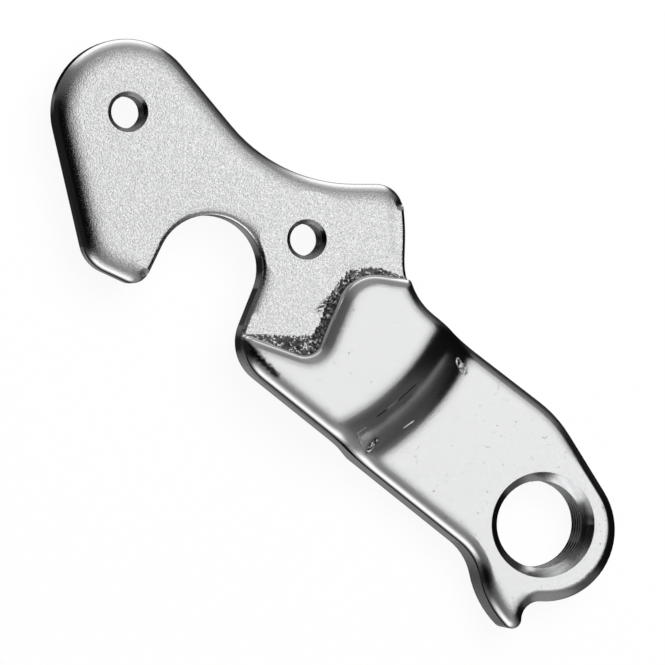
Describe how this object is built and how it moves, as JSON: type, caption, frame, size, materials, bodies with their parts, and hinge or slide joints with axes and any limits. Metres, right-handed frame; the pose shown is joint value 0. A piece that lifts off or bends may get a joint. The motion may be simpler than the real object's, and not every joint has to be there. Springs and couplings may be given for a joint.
{
  "type": "bicycle derailleur hanger",
  "caption": "Bright forged hanger with a stepped plate, a half-round axle notch, threaded screw holes and a joggled tongue with a large threaded eye and a small stop.",
  "frame": {"origin": "where the axis of the derailleur thread leaves the back of the tongue", "axes": "+Z along the thread's axis towards the derailleur, away from the wheel; +Y up in the picture; +X to its right"},
  "size_m": [0.058, 0.0596, 0.0098],
  "materials": {
    "polished_alloy": "tumbled and polished, with a fine grain on the flat faces"
  },
  "bodies": {
    "root": {"hanger": "polished_alloy"}
  },
  "joints": []
}
